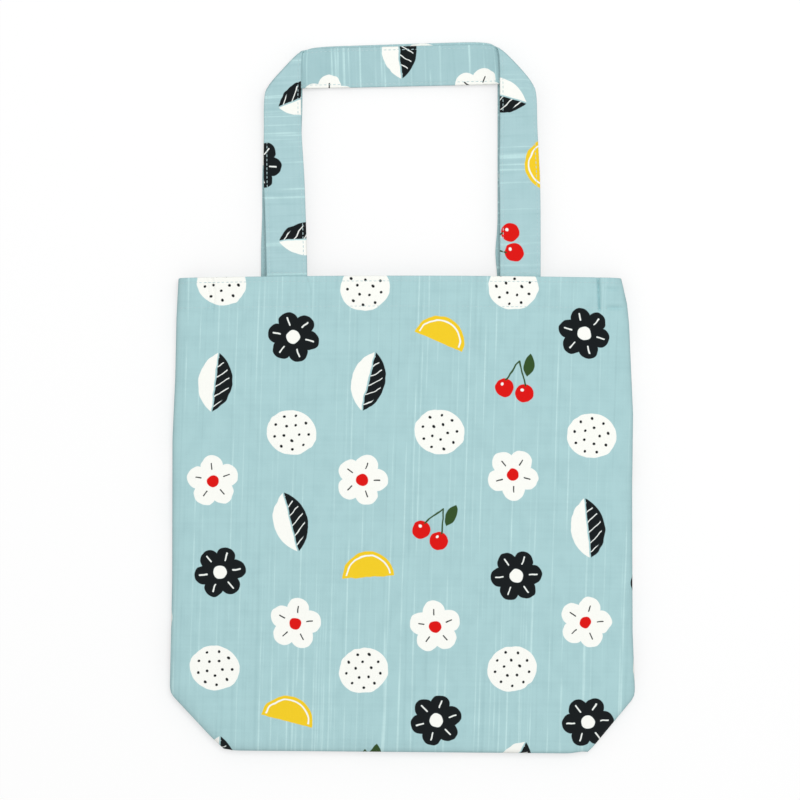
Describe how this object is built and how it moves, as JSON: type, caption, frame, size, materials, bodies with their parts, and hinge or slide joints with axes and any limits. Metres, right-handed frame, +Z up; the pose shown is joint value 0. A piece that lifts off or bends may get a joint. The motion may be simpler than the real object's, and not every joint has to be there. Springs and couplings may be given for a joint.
{
  "type": "lunch bag",
  "caption": "Flat soft cotton lunch bag with a turned hem, cut bottom corners and carrying straps folded to a mitre; the mouth opens and the handles flop over.",
  "frame": {"origin": "on the surface under the bag lying on its back, at the middle of the whole object's length and width", "axes": "+X across the bag to the right, +Y from the bottom seam towards the handles, +Z up out of the front panel"},
  "size_m": [0.301, 0.4621, 0.0129],
  "materials": {
    "cotton": "printed slub cotton, light blue ground",
    "cotton_inside": "paler reverse of the cotton",
    "strap": "folded printed slub cotton",
    "thread": "spun polyester sewing thread"
  },
  "bodies": {
    "back": {"back_panel": "cotton", "back_hem_facing": "cotton_inside", "back_hem_top_stitch": "thread", "back_hem_lower_stitch": "thread", "back_left_tab": "strap", "back_right_tab": "strap", "left_side_seam": "cotton_inside", "right_side_seam": "cotton_inside", "bottom_seam": "cotton_inside", "left_corner_seam": "cotton_inside", "right_corner_seam": "cotton_inside"},
    "front": {"front_panel": "cotton", "front_hem_facing": "cotton_inside", "front_hem_top_stitch": "thread", "front_hem_lower_stitch": "thread", "front_left_tab": "strap", "front_right_tab": "strap"},
    "front_handle": {"front_handle_strap": "strap"},
    "back_handle": {"back_handle_strap": "strap"}
  },
  "joints": [
    {"name": "mouth_open", "type": "hinge", "parent": "back", "child": "front", "pos_m": [0, -0.231, 0.00645], "axis": [1, 0, 0], "range_deg": [0, 12]},
    {"name": "front_handle_swing", "type": "hinge", "parent": "front", "child": "front_handle", "pos_m": [0, 0.079, 0.01185], "axis": [1, 0, 0], "range_deg": [0, 179.5]},
    {"name": "back_handle_swing", "type": "hinge", "parent": "back", "child": "back_handle", "pos_m": [0, 0.079, 0.00105], "axis": [1, 0, 0], "range_deg": [-178.5, 0]}
  ]
}
